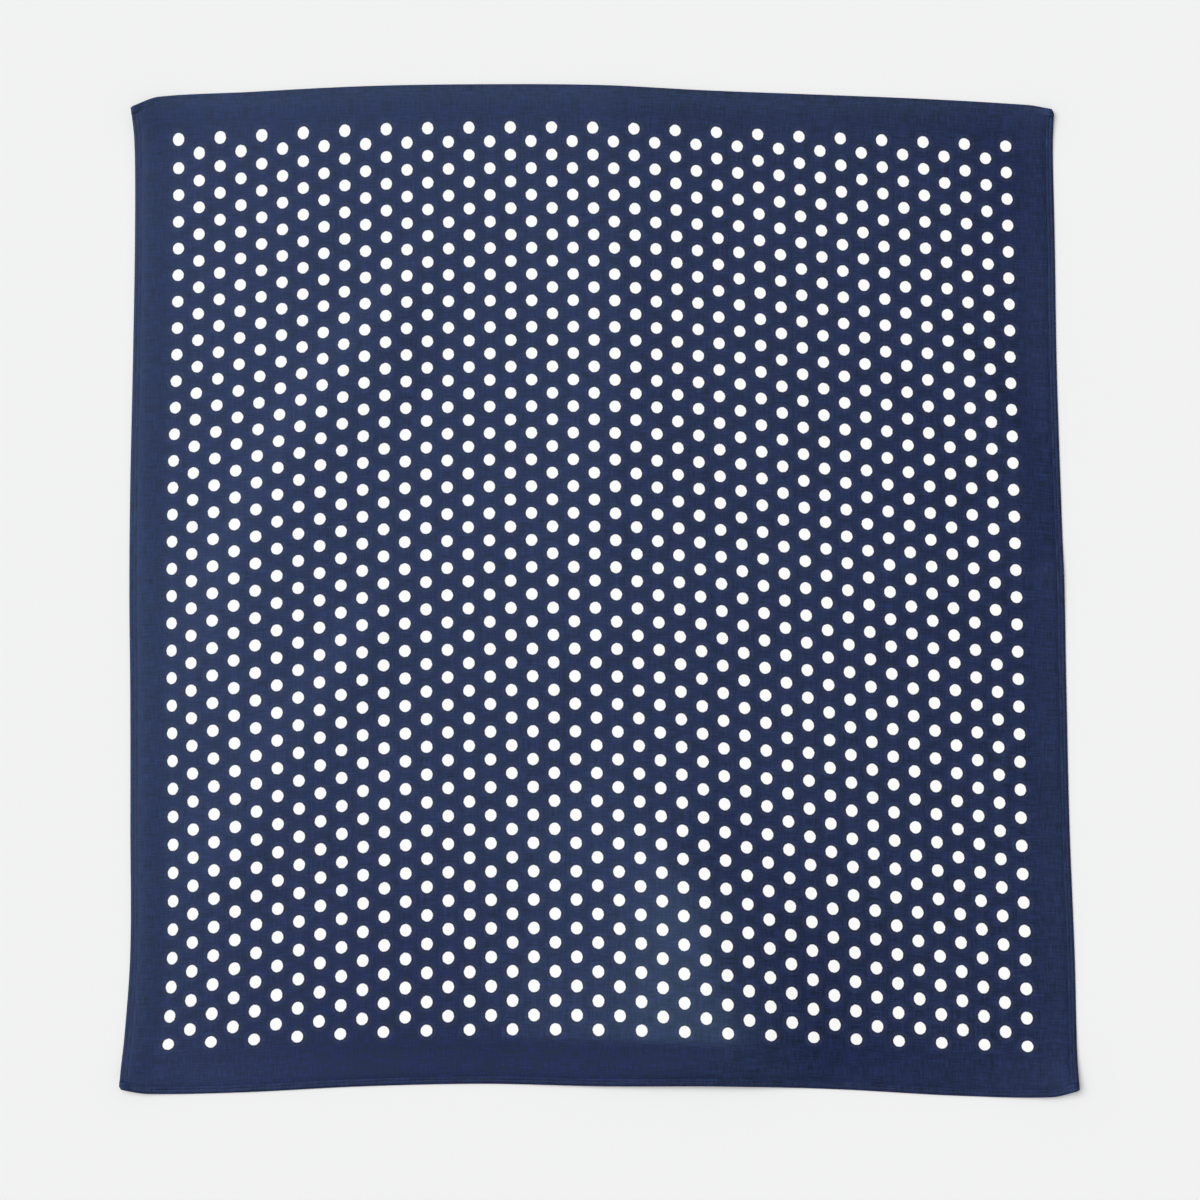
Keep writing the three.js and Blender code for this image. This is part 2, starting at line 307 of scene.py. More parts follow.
def one_fold(fold, x, y):
    """How high a fold stands at each place: a ridge that opens out from its start."""
    line = curve_through(fold["at"])
    nearest = np.full(x.shape, np.inf)
    side = np.zeros(x.shape)
    along = np.zeros(x.shape)
    for k in range(len(line) - 1):
        step = line[k + 1] - line[k]
        to_x, to_y = x - line[k][0], y - line[k][1]
        t = np.clip((to_x * step[0] + to_y * step[1]) / (step @ step), 0, 1)
        away = np.hypot(to_x - step[0] * t, to_y - step[1] * t)
        closer = away < nearest
        nearest = np.where(closer, away, nearest)
        side = np.where(closer, step[0] * to_y - step[1] * to_x, side)
        along = np.where(closer, (k + t) / (len(line) - 1), along)
    opens = fold.get("opens", CREASE_OPENS)
    widening = opens + (1 - opens) * smooth(along, 0, 0.8)
    spread = widening * np.where(side > 0, fold["left"], fold["right"])
    rounding = fold["crest"] / spread
    off_crest = np.hypot(nearest / spread, rounding) - rounding
    out = np.minimum(off_crest / (np.hypot(1, rounding) - rounding), 1)
    rises = fold.get("rises", CREASE_RISES)
    ends = smooth(along, 0, rises) * smooth(1 - along, 0, 0.16)
    return fold["height"] * ends * (1 - out) * (1 - 0.75 * out)


def lift(u, v):
    """How high the cloth's underside stands off the table, in millimetres."""
    x, y = lay_uncentred(u, v)
    height = np.zeros(x.shape)
    for fold in FOLDS:
        height = np.maximum(height, one_fold(fold, x, y))
    for corner in CORNERS:
        away = np.hypot(u - corner["u"], v - corner["v"])
        height = height + corner["height"] * np.maximum(1 - away / corner["reach"], 0) ** 2
    return height


def fine_relief(u, v):
    """The shallow creases and the soft unevenness of washed cotton, in millimetres."""
    x, y = lay_uncentred(u, v)
    height = np.zeros(x.shape)
    for crease in CREASES:
        height = height + one_fold(crease, x, y)
    swell = [
        0.55 * noise.noise(Vector((a / 95, b / 120, 3.1)))
        + 0.22 * noise.noise(Vector((a / 34, b / 41, 8.7)))
        + 0.07 * noise.noise(Vector((a / 13, b / 12, 1.9)))
        for a, b in zip(u, v)
    ]
    return height + np.array(swell)


def from_edge(u, v):
    """How far each place is from the nearest folded edge."""
    return np.minimum(WIDTH / 2 - np.abs(u), LENGTH / 2 - np.abs(v))


def edge_wear_and_light(u, v):
    """How pale the folded edges are painted, as rubbed wear and as painted light: most on the left
    and the top, towards the lamp, and least at the bottom.
    """
    on_the_right = smooth(u, 190, 250)
    at_the_bottom = smooth(-v, 215, 270)
    return 0.5 * (1 - 0.45 * on_the_right) * (1 - 0.75 * at_the_bottom)


def margin(v):
    """1 on the plain margin along the bottom and 0 on the dotted field above it."""
    return smooth(MARGIN_TOP - v, -MARGIN_EDGE, MARGIN_EDGE)


def painted_light_and_shade_share(places, u, v):
    """What the painted light and shade of a table's places add up to."""
    share = np.zeros(u.shape)
    for place in places:
        away = np.hypot(u - place["u"], v - place["v"])
        share = share + place["share"] * (1 - smooth(away, 0, place["reach"]))
    return share


def wear_and_painted_light_share(u, v):
    """How much paler each place is painted, as wear and painted light, and, below nothing, how much
    darker, as painted shade.
    """
    x, y = lay_uncentred(u, v)
    share = np.zeros(x.shape)
    for fold in FOLDS + CREASES:
        if fold.get("pale"):
            left, right = fold["left"] * CROWN, fold["right"] * CROWN
            crown = dict(fold, left=left, right=right, height=1.0)
            share = np.maximum(share, fold["pale"] * one_fold(crown, x, y))
    share = share + painted_light_and_shade_share(PAINTED_LIGHT_AND_SHADE, u, v)
    share = share * (1 - margin(v)) + painted_light_and_shade_share(MARGIN, u, v) * margin(v)
    return share + edge_wear_and_light(u, v) * (1 - smooth(from_edge(u, v), 2, 17))


def hem_rise(u, v):
    """How far the turned layers hold the cloth up beside a hem, less the dip under its lip."""
    reach = from_edge(u, v)
    held_up = HELD_UP * (1 - smooth(reach, HEM_WIDTH, 22))
    return held_up - LIP_DIP * (1 - smooth(reach, 1.6, 4.4))


def cloth_height(u, v):
    """The height of the cloth's middle layer over the table, in millimetres."""
    free = smooth(from_edge(u, v), 4, 30)
    resting = lift(u, v) + free * fine_relief(u, v)
    return np.maximum(resting, 0) + hem_rise(u, v) + MIDDLE_LAYER


# Settings that a user would change


class BandanaCloth(bpy.types.PropertyGroup):
    thickness: bpy.props.FloatProperty(
        name="Cloth thickness", description="Thickness of one layer of cotton",
        default=0.0003, min=0.0001, max=0.001, precision=5, unit="LENGTH",
    )
    cells_across: bpy.props.IntProperty(
        name="Cells across", description="Mesh cells across the field",
        default=172, min=20, max=200,
    )
    cells_down: bpy.props.IntProperty(
        name="Cells down", description="Mesh cells down the field",
        default=186, min=20, max=220,
    )
    hem_cells: bpy.props.IntProperty(
        name="Hem cells", description="Mesh cells along each hem",
        default=420, min=40, max=900,
    )
    stitch: bpy.props.FloatProperty(
        name="Stitch length", description="From one stitch to the next along a hem",
        default=0.00195, min=0.001, max=0.006, precision=5, unit="LENGTH",
    )
    thread: bpy.props.FloatProperty(
        name="Thread", description="Thickness of the sewing thread",
        default=0.0003, min=0.0001, max=0.001, precision=5, unit="LENGTH",
    )
    seam_inset: bpy.props.FloatProperty(
        name="Seam inset", description="From the folded edge to the row of stitches",
        default=0.0022, min=0.001, max=0.01, precision=5, unit="LENGTH",
    )


class BandanaPrint(bpy.types.PropertyGroup):
    dot: bpy.props.FloatProperty(
        name="Dot", description="Width of a printed dot",
        default=0.0063, min=0.001, max=0.05, precision=5, unit="LENGTH",
    )
    tall: bpy.props.FloatProperty(
        name="Tall", description="Height of a dot as a share of its width",
        default=1.045, min=0.5, max=2, precision=3,
    )
    across: bpy.props.FloatProperty(
        name="Across", description="From one dot to the next in a row",
        default=0.023427, min=0.004, max=0.1, precision=5, unit="LENGTH",
    )
    down: bpy.props.FloatProperty(
        name="Down", description="From one dot to the next in a column",
        default=0.015242, min=0.004, max=0.1, precision=5, unit="LENGTH",
    )
    shift_across: bpy.props.FloatProperty(
        name="Shift across", description="How far the print's middle is right of the cloth's",
        default=-0.001, min=-0.02, max=0.02, precision=5, unit="LENGTH",
    )
    shift_up: bpy.props.FloatProperty(
        name="Shift up", description="How far the print's middle is above the cloth's",
        default=0.0037, min=-0.02, max=0.02, precision=5, unit="LENGTH",
    )
    navy: bpy.props.FloatVectorProperty(
        name="Navy", description="Colour of the dyed cotton",
        default=(0.0052, 0.0090, 0.0345), min=0, max=1, size=3, subtype="COLOR",
    )
    white: bpy.props.FloatVectorProperty(
        name="White", description="Colour of the printed dots",
        default=(0.985, 0.965, 0.905), min=0, max=1, size=3, subtype="COLOR",
    )


class BandanaStage(bpy.types.PropertyGroup):
    floor: bpy.props.FloatVectorProperty(
        name="Floor", description="Colour of the pale floor",
        default=(0.850, 0.836, 0.814), min=0, max=1, size=3, subtype="COLOR",
    )
    sky: bpy.props.FloatProperty(
        name="Even light", description="Strength of the even light from all round",
        default=0.455, min=0, max=5,
    )
    window: bpy.props.FloatVectorProperty(
        name="Window side", description="Colour of the light from the left",
        default=(1.80, 1.85, 1.90), min=0, max=5, size=3, subtype="COLOR",
    )
    shade: bpy.props.FloatVectorProperty(
        name="Shaded side", description="Colour of the light from the right",
        default=(0.18, 0.14, 0.09), min=0, max=5, size=3, subtype="COLOR",
    )
    walls: bpy.props.FloatVectorProperty(
        name="Walls", description="Colour of the light from low down on every side",
        default=(0.90, 0.92, 0.94), min=0, max=5, size=3, subtype="COLOR",
    )
    horizon: bpy.props.FloatVectorProperty(
        name="Foot of the walls", description="The pale foot of the walls, next to the floor",
        default=(1.88, 1.90, 1.89), min=0, max=4, size=3, subtype="COLOR",
    )
    spread: bpy.props.FloatProperty(
        name="Spread", description="How gradually the window side turns into the shaded side",
        default=0.3, min=0.01, max=1,
    )
    lamp: bpy.props.FloatProperty(
        name="Soft lamp", description="Strength of the soft light from the left",
        default=2.25, min=0, max=20,
    )
    distance: bpy.props.FloatProperty(
        name="Camera distance", description="From the camera to the cloth's middle",
        default=1.213, min=0.3, max=5, unit="LENGTH",
    )
    tilt: bpy.props.FloatProperty(
        name="Camera tilt", description="How far the camera leans off straight down",
        default=math.radians(6), min=0, max=1.5, unit="ROTATION",
    )


# Shader node groups


class Wiring:
    """Places nodes in a tree and joins them."""

    def __init__(self, tree):
        self.tree = tree
        self.count = 0

    def node(self, kind, **settings):
        made = self.tree.nodes.new(kind)
        made.location = (180 * (self.count % 12), -220 * (self.count // 12))
        self.count += 1
        for key, value in settings.items():
            setattr(made, key, value)
        return made

    def join(self, source, target):
        self.tree.links.new(source, target)

    def put(self, target, value):
        if isinstance(value, bpy.types.NodeSocket):
            self.join(value, target)
        else:
            target.default_value = value

    def math(self, operation, a, b=0.0):
        made = self.node("ShaderNodeMath", operation=operation)
        self.put(made.inputs[0], a)
        self.put(made.inputs[1], b)
        return made.outputs[0]

    def span(self, value, low, high, to_low=0.0, to_high=1.0, curve="SMOOTHSTEP"):
        made = self.node("ShaderNodeMapRange", interpolation_type=curve)
        self.put(made.inputs["Value"], value)
        self.put(made.inputs["From Min"], low)
        self.put(made.inputs["From Max"], high)
        self.put(made.inputs["To Min"], to_low)
        self.put(made.inputs["To Max"], to_high)
        return made.outputs["Result"]

    def blend(self, share, a, b):
        made = self.node("ShaderNodeMix", data_type="RGBA")
        self.put(made.inputs["Factor"], share)
        # The colour sockets of this node share their names with others, so they go by number
        self.put(made.inputs[6], a)
        self.put(made.inputs[7], b)
        return made.outputs[2]

    def colours(self, operation, a, b):
        made = self.node("ShaderNodeVectorMath", operation=operation)
        self.put(made.inputs[0], a)
        self.put(made.inputs[1], b)
        return made.outputs["Vector"]

    def scaled(self, colour, share):
        made = self.node("ShaderNodeVectorMath", operation="SCALE")
        self.put(made.inputs[0], colour)
        self.put(made.inputs["Scale"], share)
        return made.outputs["Vector"]

    def bump(self, height, strength, distance):
        made = self.node("ShaderNodeBump")
        made.inputs["Strength"].default_value = strength
        made.inputs["Distance"].default_value = distance
        self.join(height, made.inputs["Height"])
        return made.outputs["Normal"]

    def cloud(self, place, scale, detail=2.0, roughness=0.5):
        made = self.node("ShaderNodeTexNoise", noise_dimensions="3D")
        self.put(made.inputs["Vector"], place)
        made.inputs["Scale"].default_value = scale
        made.inputs["Detail"].default_value = detail
        made.inputs["Roughness"].default_value = roughness
        return made.outputs["Fac"]

    def stretched(self, place, across, down):
        made = self.node("ShaderNodeMapping")
        self.put(made.inputs["Vector"], place)
        made.inputs["Scale"].default_value = (across, down, 1)
        return made.outputs["Vector"]

    def parts(self, place):
        made = self.node("ShaderNodeSeparateXYZ")
        self.put(made.inputs[0], place)
        return made.outputs[0], made.outputs[1], made.outputs[2]


def new_group(name, inputs, outputs):
    """An empty shader group with its sockets, and the wiring to fill it."""
    tree = bpy.data.node_groups.new(name, "ShaderNodeTree")
    for label, kind, value in inputs:
        socket = tree.interface.new_socket(label, in_out="INPUT", socket_type=kind)
        if value is not None:
            socket.default_value = value
    for label, kind in outputs:
        tree.interface.new_socket(label, in_out="OUTPUT", socket_type=kind)
    wiring = Wiring(tree)
    return tree, wiring, wiring.node("NodeGroupInput"), wiring.node("NodeGroupOutput")


def dot_print_group(look):
    """Staggered round dots over a rectangle of the cut: 21 columns with 20 more between."""
    tree, w, given, result = new_group(
        "Dot print",
        [
            ("Place", "NodeSocketVector", None),
            ("Width", "NodeSocketFloat", look.dot),
            ("Across", "NodeSocketFloat", look.across),
            ("Down", "NodeSocketFloat", look.down),
            ("Softness", "NodeSocketFloat", 0.00022),
        ],
        [("Dots", "NodeSocketFloat"), ("Halo", "NodeSocketFloat")],
    )
    u, v, _ = w.parts(given.outputs["Place"])
    u = w.math("SUBTRACT", u, look.shift_across)
    v = w.math("SUBTRACT", v, look.shift_up)
    ragged = w.cloud(given.outputs["Place"], 900.0, 1.0)
    ragged = w.math("MULTIPLY", w.math("SUBTRACT", ragged, 0.5), 0.0005)
    # How many steps from the middle the print ends, across and down
    full = (10.5, 17.0)
    between_them = (10.0, 16.5)
    nearest = None
    for half_step, (most_u, most_v) in ((0.0, full), (0.5, between_them)):
        cell_u = w.math("ADD", w.math("DIVIDE", u, given.outputs["Across"]), half_step)
        cell_v = w.math("ADD", w.math("DIVIDE", v, given.outputs["Down"]), half_step + 0.5)
        off_u = w.math("SUBTRACT", cell_u, w.math("ROUND", cell_u))
        off_v = w.math("SUBTRACT", cell_v, w.math("ROUND", cell_v))
        off_u = w.math("MULTIPLY", off_u, given.outputs["Across"])
        off_v = w.math("MULTIPLY", off_v, w.math("DIVIDE", given.outputs["Down"], look.tall))
        squares = w.math("ADD", w.math("MULTIPLY", off_u, off_u), w.math("MULTIPLY", off_v, off_v))
        away = w.math("SQRT", squares)
        past_u = w.math("GREATER_THAN", w.math("ABSOLUTE", u), most_u * look.across)
        past_v = w.math("GREATER_THAN", w.math("ABSOLUTE", v), most_v * look.down)
        away = w.math("ADD", away, w.math("ADD", past_u, past_v))
        nearest = away if nearest is None else w.math("MINIMUM", nearest, away)
    away = w.math("ADD", nearest, ragged)
    radius = w.math("MULTIPLY", given.outputs["Width"], 0.5)
    outer = w.math("ADD", radius, given.outputs["Softness"])
    inner = w.math("SUBTRACT", radius, given.outputs["Softness"])
    dots = w.span(away, inner, outer, 1.0, 0.0)
    past = w.math("SUBTRACT", away, radius)
    begins, strongest, ends = 0.0004, 0.0013, 0.0029
    growing = w.span(past, begins, strongest)
    halo = w.math("MULTIPLY", growing, w.span(past, strongest, ends, 1.0, 0.0))
    w.join(dots, result.inputs["Dots"])
    w.join(halo, result.inputs["Halo"])
    return tree


def weave_group():
    """Plain weave: yarns that pass over and under in turn, some thicker than others."""
    tree, w, given, result = new_group(
        "Plain weave",
        [
            ("Place", "NodeSocketVector", None),
            ("Yarns per metre", "NodeSocketFloat", 2500.0),
        ],
        [("Height", "NodeSocketFloat"), ("Slub", "NodeSocketFloat"), ("Streak", "NodeSocketFloat")],
    )
    place = given.outputs["Place"]
    u, v, _ = w.parts(place)
    turn = w.math("MULTIPLY", given.outputs["Yarns per metre"], math.pi)
    over = w.math(
        "ABSOLUTE",
        w.math(
            "MULTIPLY",
            w.math("SINE", w.math("MULTIPLY", u, turn)),
            w.math("SINE", w.math("MULTIPLY", v, turn)),
        ),
    )
    # Slubs are short thick places in single yarns, and streaks run on along them
    warp_slub = w.cloud(w.stretched(place, 1900, 110), 1.0, 2.0, 0.6)
    weft_slub = w.cloud(w.stretched(place, 90, 1700), 1.0, 2.0, 0.6)
    slub = w.math("MULTIPLY", w.math("ADD", warp_slub, weft_slub), 0.5)
    warp_streak = w.cloud(w.stretched(place, 420, 5), 1.0, 3.0, 0.6)
    weft_streak = w.cloud(w.stretched(place, 6, 300), 1.0, 2.0, 0.6)
    streak = w.math(
        "ADD", w.math("MULTIPLY", warp_streak, 0.62), w.math("MULTIPLY", weft_streak, 0.38)
    )
    height = w.math("ADD", w.math("MULTIPLY", over, 0.5), w.math("MULTIPLY", slub, 1.2))
    w.join(height, result.inputs["Height"])
    w.join(slub, result.inputs["Slub"])
    w.join(streak, result.inputs["Streak"])
    return tree


def dye_and_light_group():
    """Dye that is uneven: small mottling, broad drifts and yarn streaks, with places painted paler
    as rubbed wear and painted light, and darker as painted shade.
    """
    tree, w, given, result = new_group(
        "Uneven dye and painted light",
        [
            ("Place", "NodeSocketVector", None),
            ("Colour", "NodeSocketColor", (0.02, 0.03, 0.07, 1)),
            ("Slub", "NodeSocketFloat", 0.5),
            ("Streak", "NodeSocketFloat", 0.5),
            ("Wear, painted light and shade", "NodeSocketFloat", 0.0),
            ("Bare yarn and painted light", "NodeSocketColor", (0.009, 0.0155, 0.019, 1)),
        ],
        [("Colour", "NodeSocketColor"), ("Roughness", "NodeSocketFloat")],
    )
    place = given.outputs["Place"]
    mottle = w.cloud(place, 130.0, 5.0, 0.85)
    drift = w.cloud(place, 24.0, 2.0, 0.5)
    # Each of these darkens and lightens the dye by up to the shares that it names
    tone = w.math("ADD", w.span(mottle, 0.25, 0.75, -0.65, 0.65, "LINEAR"), 1.0)
    tone = w.math("ADD", tone, w.span(drift, 0.3, 0.7, -0.10, 0.10, "LINEAR"))
    tone = w.math("ADD", tone, w.span(given.outputs["Slub"], 0.3, 0.7, -1.6, 1.6, "LINEAR"))
    tone = w.math("ADD", tone, w.span(given.outputs["Streak"], 0.3, 0.7, -0.22, 0.22, "LINEAR"))
    dyed = w.scaled(given.outputs["Colour"], tone)
    # The pale yarn colour is added where the cloth is painted paler, as wear and painted light, and
    # taken away where it is painted darker, as painted shade.
    worn_and_lit_tone = w.scaled(given.outputs["Bare yarn and painted light"], given.outputs["Wear, painted light and shade"])
    darkest = (0.001, 0.0015, 0.004)
    w.join(w.colours("MAXIMUM", w.colours("ADD", dyed, worn_and_lit_tone), darkest), result.inputs["Colour"])
    w.join(w.span(mottle, 0.2, 0.8, 0.46, 0.56, "LINEAR"), result.inputs["Roughness"])
    return tree


def place_group(w, name, make, *given):
    """Places a shared group in a material, and builds it the first time."""
    tree = bpy.data.node_groups.get(name) or make(*given)
    return w.node("ShaderNodeGroup", node_tree=tree)


def new_material(name):
    """A material, the wiring to fill it, and its shader."""
    material = bpy.data.materials.new(name)
    material.use_nodes = True
    tree = material.node_tree
    return material, Wiring(tree), tree.nodes["Principled BSDF"]


def cotton(name, look, dots=1.0, softness=0.00022, colour=None, white=None, weave=1.0):
    """Printed cotton. dots is how far the print shows, as less of it shows on the back."""
    material, w, shader = new_material(name)
    shader.inputs["Metallic"].default_value = 0.0
    shader.inputs["IOR"].default_value = 1.45
    shader.inputs["Specular IOR Level"].default_value = 0.66
    shader.inputs["Specular Tint"].default_value = (0.37, 0.53, 1.0, 1)
    shader.inputs["Sheen Weight"].default_value = 0.02
    shader.inputs["Sheen Roughness"].default_value = 0.5
    shader.inputs["Sheen Tint"].default_value = (0.75, 0.85, 1.0, 1)
    cut = w.node("ShaderNodeUVMap", uv_map="Cut").outputs[0]
    yarn = place_group(w, "Plain weave", weave_group)
    w.join(cut, yarn.inputs["Place"])
    dye_and_light = place_group(w, "Uneven dye and painted light", dye_and_light_group)
    w.join(cut, dye_and_light.inputs["Place"])
    dye_and_light.inputs["Colour"].default_value = (*(colour or look.navy), 1)
    w.join(yarn.outputs["Slub"], dye_and_light.inputs["Slub"])
    w.join(yarn.outputs["Streak"], dye_and_light.inputs["Streak"])
    # Each vertex's share of wear, painted light and painted shade, which the dye group adds to the
    # cloth's colour.
    wear_light_and_shade = w.node("ShaderNodeAttribute", attribute_name="Wear, painted light and shade")
    w.join(wear_light_and_shade.outputs["Fac"], dye_and_light.inputs["Wear, painted light and shade"])
    shade = dye_and_light.outputs["Colour"]
    if dots:
        spots = place_group(w, "Dot print", dot_print_group, look)
        spots.inputs["Softness"].default_value = softness
        w.join(cut, spots.inputs["Place"])
        grain = w.span(yarn.outputs["Slub"], 0.3, 0.7, 0.96, 1.0, "LINEAR")
        paint = w.scaled(tuple(white or look.white), grain)
        crept = w.math("MULTIPLY", spots.outputs["Halo"], 0.009 * dots)
        shade = w.blend(crept, shade, (1, 1, 1, 1))
        shade = w.blend(w.math("MULTIPLY", spots.outputs["Dots"], dots), shade, paint)
    w.join(shade, shader.inputs["Base Color"])
    w.join(dye_and_light.outputs["Roughness"], shader.inputs["Roughness"])
    w.join(w.bump(yarn.outputs["Height"], 0.35 * weave, 0.00012), shader.inputs["Normal"])
    return material


def thread_material(look):
    """Navy sewing thread, a little paler than the cloth, with the twist of its plies."""
    material, w, shader = new_material("navy_thread")
    shader.inputs["Specular IOR Level"].default_value = 0.5
    shader.inputs["Sheen Weight"].default_value = 0.2
    place = w.node("ShaderNodeTexCoord").outputs["Object"]
    ply = w.cloud(place, 4200.0, 1.0)
    navy = tuple(c * 1.1 for c in look.navy)
    tone = w.scaled(navy, w.span(ply, 0.3, 0.7, 0.75, 1.3, "LINEAR"))
    w.join(tone, shader.inputs["Base Color"])
    w.join(w.span(ply, 0.3, 0.7, 0.5, 0.65, "LINEAR"), shader.inputs["Roughness"])
    w.join(w.bump(ply, 0.3, 0.00005), shader.inputs["Normal"])
    return material


# Pieces


def finished(name, bm, materials):
    """Makes a bmesh into an object at the origin, with smooth faces."""
    for face in bm.faces:
        face.smooth = True
    mesh = bpy.data.meshes.new(name)
    bm.to_mesh(mesh)
    bm.free()
    made = bpy.data.objects.new(name, mesh)
    bpy.context.scene.collection.objects.link(made)
    for material in materials:
        mesh.materials.append(material)
    return made


def places_of(bm):
    """Where every vertex of a bmesh is, a row for each."""
    return np.array([tuple(vert.co) for vert in bm.verts])


def move_to(bm, x, y, z):
    """Moves every vertex of a bmesh to its place, given in millimetres."""
    for vert, place in zip(bm.verts, np.stack([x, y, z], 1) * MM):
        vert.co = place


def mark_wear_and_painted_light(made, shares):
    """Marks each vertex with how much paler it is painted, as wear and painted light, or darker, as
    painted shade, for the dye group to read.
    """
    attribute = made.data.attributes.new("Wear, painted light and shade", "FLOAT", "POINT")
    attribute.data.foreach_set("value", np.asarray(shares, np.float32))


# The field's one layer begins between the turned layers of the hems, this far in from the
# folds, in millimetres.
TUCKED = 1.6

# Each piece lies on a map of its own, with a thin gap round it. On the field's map the printed
# face takes most of the width and the back the rest.
MAP_GAP = 0.003
FACE_WIDE = 0.725
BACK_STARTS = 0.735
BACK_WIDE = 0.26


class BANDANA_OT_field(bpy.types.Operator):
    """One layer of printed cotton, from hem to hem"""

    bl_idname = "bandana.field"
    bl_label = "Field"

    def execute(self, context):
        cloth = context.scene.bandana_cloth
        look = context.scene.bandana_print
        bm = bmesh.new()
        bmesh.ops.create_grid(
            bm, x_segments=cloth.cells_across, y_segments=cloth.cells_down, size=0.5
        )
        size = Vector((WIDTH - 2 * TUCKED, LENGTH - 2 * TUCKED, 1))
        bmesh.ops.scale(bm, vec=size, verts=bm.verts)
        grown = bmesh.ops.extrude_face_region(bm, geom=bm.faces[:], use_keep_orig=True)
        raised = [e for e in grown["geom"] if isinstance(e, bmesh.types.BMVert)]
        bmesh.ops.translate(bm, vec=(0, 0, 1), verts=raised)
        bmesh.ops.recalc_face_normals(bm, faces=bm.faces[:])
        cut = bm.loops.layers.uv.new("Cut")
        sheet_map = bm.loops.layers.uv.new("OFBake")
        for face in bm.faces:
            under = face.normal.z < -0.5
            face.material_index = 1 if under else 0
            for loop in face.loops:
                u, v, _ = loop.vert.co
                loop[cut].uv = (u * MM, v * MM)
                across, up = u / WIDTH + 0.5, v / LENGTH + 0.5
                on_back = BACK_STARTS + BACK_WIDE * (1 - across)
                on_face = MAP_GAP + FACE_WIDE * across
                loop[sheet_map].uv = (
                    on_back if under else on_face, MAP_GAP + (1 - 2 * MAP_GAP) * up
                )
        flat = places_of(bm)
        u, v, top = flat[:, 0], flat[:, 1], flat[:, 2]
        x, y = lay(u, v)
        z = cloth_height(u, v) + (top - 0.5) * cloth.thickness / MM
        move_to(bm, x, y, z)
        made = finished(
            "field",
            bm,
            [
                cotton("dotted_cotton", look),
                cotton(
                    "dotted_cotton_back", look, dots=0.62, softness=0.0009,
                    colour=(0.014, 0.020, 0.052), white=(0.50, 0.53, 0.58), weave=1.3,
                ),
            ],
        )
        # The field carries its wear, painted light and painted shade on its vertices.
        mark_wear_and_painted_light(made, wear_and_painted_light_share(u, v))
        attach(made, "root")
        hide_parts("panel")
        return {"FINISHED"}


# The section of a turned hem, once round: in from the fold, and up from its underside.
HEM_SECTION = [
    {"in": 0.00, "up": 0.50},
    {"in": 0.10, "up": 0.24},
    {"in": 0.42, "up": 0.05},
    {"in": 1.00, "up": 0.00},
    {"in": 2.05, "up": 0.03},
    {"in": 2.90, "up": 0.00},
    {"in": 3.28, "up": 0.06},
    {"in": 3.42, "up": 0.24},
    {"in": 3.44, "up": 0.62},
    {"in": 4.55, "up": 0.80},
    {"in": 4.55, "up": 0.85},
    {"in": 4.30, "up": 0.91},
    {"in": 3.70, "up": 0.97},
    {"in": 3.05, "up": 1.00},
    {"in": 2.55, "up": 0.99},
    {"in": 2.20, "up": 0.90},
    {"in": 1.85, "up": 0.99},
    {"in": 1.20, "up": 1.01},
    {"in": 0.50, "up": 0.96},
    {"in": 0.13, "up": 0.77},
]

# A row for each hem: the way it runs, where its fold is, and the way in from the fold.
HEMS = [
    {"node": "hem_bottom", "runs": (-1, 0), "fold": (0, -LENGTH / 2), "inward": (0, 1)},
    {"node": "hem_top", "runs": (1, 0), "fold": (0, LENGTH / 2), "inward": (0, -1)},
    {"node": "hem_left", "runs": (0, 1), "fold": (-WIDTH / 2, 0), "inward": (1, 0)},
    {"node": "hem_right", "runs": (0, -1), "fold": (WIDTH / 2, 0), "inward": (-1, 0)},
]


# The folded-in end of a side hem makes a lump in each corner: its height, and how far from
# the end of the top or the bottom hem it begins to fall off and is gone, in millimetres.
LUMP_HEIGHT = 0.35
LUMP_FALLS = (2.6, 6.5)

# On a hem's map: the gap round the strip, and how far past its ends the closed ends lie.
STRIP_GAP = 0.01
CLOSED_END = 0.004


def hem_reach(hem):
    """Half the length of a hem: the side hems stop inside the top and the bottom one."""
    return WIDTH / 2 if hem["runs"][0] else LENGTH / 2 - HEM_WIDTH - SEAM_GAP


def on_hem(hem, along, inward):
    """The place on the flat cut that lies so far along a hem and so far in from its fold."""
    u = hem["fold"][0] + hem["runs"][0] * along + hem["inward"][0] * inward
    v = hem["fold"][1] + hem["runs"][1] * along + hem["inward"][1] * inward
    return u, v


def pucker(hem, along):
    """Small gathers that the sewing draws in along a hem, in millimetres."""
    seed = 10.0 * HEMS.index(hem)
    return np.array(
        [
            0.20 * noise.noise(Vector((a / 5.5, seed, 0.3)))
            + 0.10 * noise.noise(Vector((a / 2.2, seed, 4.4)))
            for a in along
        ]
    )


def corner_rounding(hem, along, reach):
    """How far the fold draws in where it turns a corner of the cloth."""
    drawn = np.zeros(along.shape)
    for sign in (-1, 1):
        u, v = on_hem(hem, sign * reach, 0)
        corner = min(CORNERS, key=lambda c: math.hypot(c["u"] - u, c["v"] - v))
        radius = corner["round"] if hem["runs"][0] else 0.0
        if radius:
            into = np.clip(radius - (reach - sign * along), 0, radius)
            drawn = drawn + radius - np.sqrt(np.maximum(radius**2 - into**2, 0))
    return drawn


